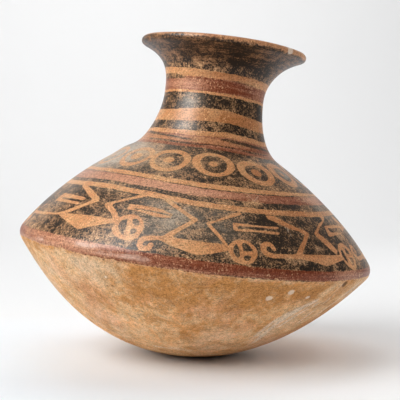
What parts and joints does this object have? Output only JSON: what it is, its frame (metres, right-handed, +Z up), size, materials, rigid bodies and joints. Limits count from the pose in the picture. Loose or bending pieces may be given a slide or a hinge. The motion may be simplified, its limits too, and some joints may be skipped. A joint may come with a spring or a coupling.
{
  "type": "pottery olla",
  "caption": "Round-bottomed pottery olla with a sharp widest girth, short neck and flared mouth, painted in bands, rings and angular figures; holds water or grain.",
  "frame": {"origin": "centre of the small worn flat on the underside that the vessel stands on", "axes": "+Z up; the vessel's own axis leans from the origin toward +X, as the picture shows it from -Y"},
  "size_m": [0.3004, 0.3022, 0.2745],
  "materials": {
    "fired_clay": "low-fired earthenware, burnished and painted above the girth, matt and bare below"
  },
  "bodies": {
    "root": {"olla": "fired_clay"}
  },
  "joints": []
}
